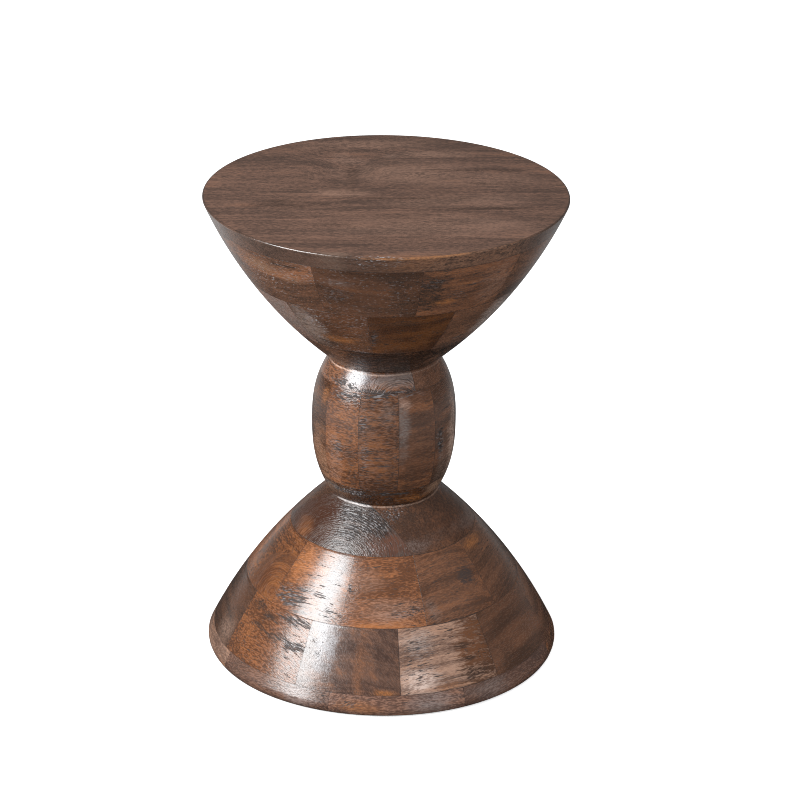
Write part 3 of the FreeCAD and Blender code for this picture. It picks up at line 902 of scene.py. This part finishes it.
baseNeck = {
    "low": 143.0,
    "high": barrelLow,
    "turn": -38.8,  # the way the front plank faces, degrees
    "half": 52.5,  # mm from the axis to each glue line
    "columns": 220,
    "planks": {"baseNeckFront": (1,), "baseNeckMiddle": (1, -1), "baseNeckBack": (-1,)},
}
low, high = baseNeck["low"], baseNeck["high"]
rows = evenRows(low, high, rowStep["neck"])
rows[-1] = (baseNeckRadius, high)
whole = turnedSection("baseNeck", rows, rodHole)
spinUp(whole, 360, baseNeck["columns"])
applyModifier(whole, "BEVEL", **easedEdge)
turn = math.radians(baseNeck["turn"])
for name, sides in baseNeck["planks"].items():
    middlePlank = name == "baseNeckMiddle"
    piece = turnedCopy(whole, name, 0)
    bpy.ops.object.mode_set(mode="EDIT")
    for side in sides:
        out = Vector((math.sin(turn), -math.cos(turn), 0)) * side
        sawAlong(out * baseNeck["half"] * mm, out, clear_outer=middlePlank, clear_inner=not middlePlank)
    bpy.ops.object.mode_set(mode="OBJECT")
    recipe = recipeFor("base_neck_block" if name == "baseNeckFront" else "plainNeckPlank")
    place(piece, "base_neck_block", recipe,
          blockLayout(baseNeck["turn"] - 180, 360, low, high))
bpy.data.objects.remove(whole)
print("necks and caps done")

# the top board: planks with the grain to the right

board = {  # mm and degrees
    "low": 494.0,
    "high": 512.0,
    "radius": 190.0,
    "columns": 420,
    "seams": (-133.0, -58.5, 1.9, 113.1),
    "past": 200.0,  # the outer planks are laid out to here
    "turn": 2.0,
    "round": {"centre": (188.40, 510.45), "radius": 1.55, "start": -18, "turn": 108, "steps": 7},
    "raise": 100.0,  # rows that are done wait this much higher, out of the next pick
    "ease": {"width": 0.12 * mm, "segments": 1, "limit_method": "ANGLE", "angle_limit": math.radians(50)},
    "seed": 300,
    "wood": {"dark": (0.074, 0.043, 0.032), "light": (0.193, 0.104, 0.072), "tilt": 0.0, "ringGap": 6,
             "shine": 0.44, "lacquer": 0.12, "seam": 0.12, "grit": 0.60, "fibre": 0.45, "dashes": 0.1,
             "pores": 0.2, "accentShare": 0.1, "pith": (-50, 0)},
    "figure": {
        1: {"accentShare": 0.05, "deep": 0.92, "patches": [
            (-26, -189, 34, 5, coalTint, 0.45), (30, -186, 60, 6, orangeTint, 0.3),
            (-30, -189, 40, 6, paintedGlintTone, 1.0), (-62, -178, 20, 8, (0.21, 0.135, 0.10), 0.6)]},
        2: {"accentShare": 0.05, "patches": [
            (40, -100, 120, 34, paleTint, 0.28), (112, -94, 34, 18, paleTint, 0.3),
            (-52, -96, 34, 10, umberTint, 0.25)]},
        3: {"patches": [
            (30, -15, 80, 3, umberTint, 0.8), (-110, -36, 40, 12, umberTint, 0.4),
            (-50, -1, 34, 9, paleTint, 0.6), (-112, -30, 34, 14, umberTint, 0.3),
            (114, -18, 34, 22, paleTint, 0.35), (110, -47, 60, 5, umberTint, 0.6),
            (70, -26, 80, 20, paleTint, 0.25)]},
        4: {"knots": [(-38, 60, 34, 60, 26), (42, 50, 22, 14, 12)], "patches": [
            (20, 66, 80, 40, paleTint, 0.46), (-50, 5, 34, 8, paleTint, 0.5),
            (-34, 62, 8, 40, umberTint, 0.5), (110, 31, 26, 6, umberTint, 0.8),
            (116, 40, 50, 26, paleTint, 0.3), (-38, 104, 22, 12, pinkTint, 0.22),
            (95, 72, 60, 5, umberTint, 0.5)]},
        5: {"knots": [(-30, 110, 60, 40, 24)], "deep": 0.95, "patches": [
            (56, 122, 40, 16, paleTint, 0.6), (-20, 156, 90, 18, paleTint, 0.4),
            (8, 118, 9, 5, pinkTint, 0.3), (-44, 122, 12, 8, pinkTint, 0.2)]},
    },
}
rounded = board["round"]
rows = evenRows(board["low"], sideHigh, rowStep["board"])
for count in range(1, rounded["steps"] + 1):
    angle = math.radians(rounded["start"] + rounded["turn"] * count / rounded["steps"])
    rows.append((rounded["centre"][0] + rounded["radius"] * math.cos(angle),
                 rounded["centre"][1] + rounded["radius"] * math.sin(angle)))
deselectAll()
thick = board["high"] - board["low"]
bpy.ops.mesh.primitive_cylinder_add(vertices=board["columns"], radius=board["radius"] * mm,
                                    depth=thick * mm, location=(0, 0, (board["low"] + thick / 2) * mm))
whole = bpy.context.object
whole.name = whole.data.name = "board"
bpy.ops.object.transform_apply(location=True)
bpy.ops.object.mode_set(mode="EDIT")
cutRows(whole, len(rows) - 2)
for count, (radius, height) in enumerate(rows):
    now = board["low"] + thick * count / (len(rows) - 1)
    share = radius / board["radius"]
    selectWhere(whole, lambda co: abs(co.z - now * mm) < sameSpot)
    bpy.ops.transform.resize(value=(share, share, 1), center_override=(0, 0, 0))
    bpy.ops.transform.translate(value=(0, 0, (height - now + board["raise"]) * mm))
bpy.ops.mesh.select_all(action="SELECT")
bpy.ops.transform.translate(value=(0, 0, -board["raise"] * mm))
bpy.ops.object.mode_set(mode="OBJECT")
turn = math.radians(board["turn"])
across = Vector((-math.sin(turn), math.cos(turn), 0))
seams = (-board["past"],) + board["seams"] + (board["past"],)
for count, (low, high) in enumerate(zip(seams, seams[1:])):
    piece = turnedCopy(whole, f"topPlank{count + 1}", 0)
    bpy.ops.object.mode_set(mode="EDIT")
    if low > -board["radius"]:
        sawAlong(across * low * mm, across, clear_inner=True)
    if high < board["radius"]:
        sawAlong(across * high * mm, across, clear_outer=True)
    bpy.ops.object.mode_set(mode="OBJECT")
    applyModifier(piece, "BEVEL", **board["ease"])
    recipe = stained("umber", **{**board["wood"], **board["figure"][count + 1]}, seed=board["seed"] + count)
    place(piece, "top_board", recipe, plankLayout(low, high, board["turn"]))
bpy.data.objects.remove(whole)
print("top board done")

# rod, nuts and pads keep their own shape

hardware = {
    "steel": ((0.42, 0.42, 0.43, 1), (0.62, 0.62, 0.63, 1)),
    "wear": (400, 400, 60),  # per metre
    "felt": ((0.05, 0.035, 0.028, 1), (0.17, 0.125, 0.10, 1)),
    "fuzz": (1800, 1800, 1800),
}
steel, tree, shader = newMaterial("rodSteel")
wear = noiseAt(tree, placeOf(tree), hardware["wear"], 3.0)
feed(tree, shader, {"Base Color": mixColour(tree, wear, *hardware["steel"]), "Metallic": 1.0,
                    "Roughness": 0.22 + wear * 0.2})
felt, tree, shader = newMaterial("padFelt")
fuzz = noiseAt(tree, placeOf(tree), hardware["fuzz"], 4.0, 0.7)
feed(tree, shader, {"Base Color": mixColour(tree, fuzz, *hardware["felt"]), "Roughness": 0.95,
                    "Normal": bumpFrom(tree, fuzz * 0.4)})
for node, material in {"tie_rod": steel, "tie_rod_nuts": steel, "felt_pads": felt}.items():
    cadPiece = frame["nodes"][node]
    if not cadPiece.material_slots:
        cadPiece.data.materials.append(material)
    for holder in cadPiece.material_slots:
        holder.material = material
print("hardware done")

# camera, light and floor

view = {
    "place": (0.0, -3.25166, 1.67000),
    "pitch": 23.1409,  # degrees down
    "yaw": 0.29777,  # to the right
    "roll": 0.73237,
    "lens": 150.135,  # mm
    "sensor": 36.0,  # mm
    "far": 60.0,
    "filter": 1.0,  # pixels
}
pitch, yaw, roll = (math.radians(view[key]) for key in ("pitch", "yaw", "roll"))
forward = Vector((math.sin(yaw) * math.cos(pitch), math.cos(yaw) * math.cos(pitch), -math.sin(pitch)))
level = Vector((math.cos(yaw), -math.sin(yaw), 0))
upward = level.cross(forward)
rightward = math.cos(roll) * level + math.sin(roll) * upward
upward = -math.sin(roll) * level + math.cos(roll) * upward
lens = bpy.data.cameras.new("camera")
lens.lens = view["lens"]
lens.sensor_width = view["sensor"]
lens.clip_end = view["far"]
camera = bpy.data.objects.new("camera", lens)
scene.collection.objects.link(camera)
axes = Matrix((rightward, upward, -forward)).transposed().to_4x4()
camera.matrix_world = Matrix.Translation(view["place"]) @ axes
scene.camera = camera
scene.cycles.filter_width = view["filter"]

lights = {  # where each stands, seen from the table's middle; metres, watts
    "window": {"stands": (-0.68, -0.385, 0.50), "far": 3.2, "size": (1.6, 2.2), "watts": 154.0,
               "mirrored": True, "tone": (0.97, 0.99, 1.0)},
    "sky": {"stands": (0.20, -0.45, 0.87), "far": 3.4, "size": (3.0, 3.0), "watts": 34.0,
            "mirrored": False, "tone": (1, 1, 1)},
    "fill": {"stands": (0.80, -0.42, 0.38), "far": 3.4, "size": (2.4, 2.4), "watts": 34.0,
             "mirrored": False, "tone": (1, 1, 1)},
}
aimHeight = 0.2
for name, lamp in lights.items():
    light = bpy.data.lights.new(name, "AREA")
    light.shape = "RECTANGLE"
    light.size, light.size_y = lamp["size"]
    light.energy = lamp["watts"]
    light.color = lamp["tone"]
    holder = bpy.data.objects.new(name, light)
    scene.collection.objects.link(holder)
    holder.visible_glossy = lamp["mirrored"]
    towards = Vector(lamp["stands"]).normalized()
    holder.location = Vector((0, 0, aimHeight)) + towards * lamp["far"]
    holder.rotation_euler = towards.to_track_quat("Z", "Y").to_euler()

ground = {  # metres, and grey levels
    "size": 24,
    "seen": 0.95,
    "glow": 0.62,  # where the camera sees it
    "bounce": (0.40, 0.80),  # what it throws back at the table: in line with it, and beside it
    "bounceReach": (0.12, 0.55),
    "mirrored": (0.04, 0.50),  # what the lacquer mirrors: by its foot, and further off
    "mirroredReach": (0.45, 1.0),
    "mirroredSide": (0.05, 0.55),
    "mirroredRight": (0.0, 0.6),  # to the right it is dimmer
}


def grey(level):
    return (level, level, level, 1)


deselectAll()
bpy.ops.mesh.primitive_plane_add(size=ground["size"])
floor = bpy.context.object
floor.name = "floor"
paint, tree, shader = newMaterial("floorPaint")
seen = addNode(tree, "ShaderNodeLightPath", {}, {}, "Is Camera Ray")
glossy = otherOutput(seen, "Is Glossy Ray")
spot = placeOf(tree)
right = axesOf(tree, spot)[0]
aside = mathNode(tree, "ABSOLUTE", right)
mirrored = smooth(tree, lengthOf(tree, spot), *ground["mirroredReach"])
mirrored = mirrored * smooth(tree, aside, *ground["mirroredSide"])
mirrored = mirrored * (1 - 0.45 * smooth(tree, right, *ground["mirroredRight"]))
mirrored = mixColour(tree, mirrored, *(grey(tone) for tone in ground["mirrored"]))
colour = smooth(tree, aside, *ground["bounceReach"])
colour = mixColour(tree, colour, *(grey(tone) for tone in ground["bounce"]))
colour = mixColour(tree, seen, colour, grey(ground["seen"]))
colour = mixColour(tree, glossy, colour, mirrored)
glow = mixColour(tree, seen, grey(0), grey(ground["glow"]))
feed(tree, shader, {"Base Color": colour, "Roughness": 1.0, "Specular IOR Level": 0.0,
                    "Emission Color": glow, "Emission Strength": 1.0})
floor.data.materials.append(paint)

daylight = {"table": 0.30, "seen": 0.70, "clear": 0.70, "glossy": 0.20}  # white at 1
world = bpy.data.worlds.new("studio")
scene.world = world
world.use_nodes = True
tree = world.node_tree
tree.nodes.clear()
seen = addNode(tree, "ShaderNodeLightPath", {}, {}, "Is Camera Ray")
clear = otherOutput(seen, "Is Transmission Ray")
glossy = otherOutput(seen, "Is Glossy Ray")
strength = daylight["table"] + seen * daylight["seen"] + clear * daylight["clear"]
strength = strength - glossy * daylight["glossy"]
background = addNode(tree, "ShaderNodeBackground", {}, {"Color": grey(1), "Strength": strength})
worldOut = tree.nodes.new("ShaderNodeOutputWorld")
tree.links.new(background.socket, worldOut.inputs[0])
print("camera and light done")
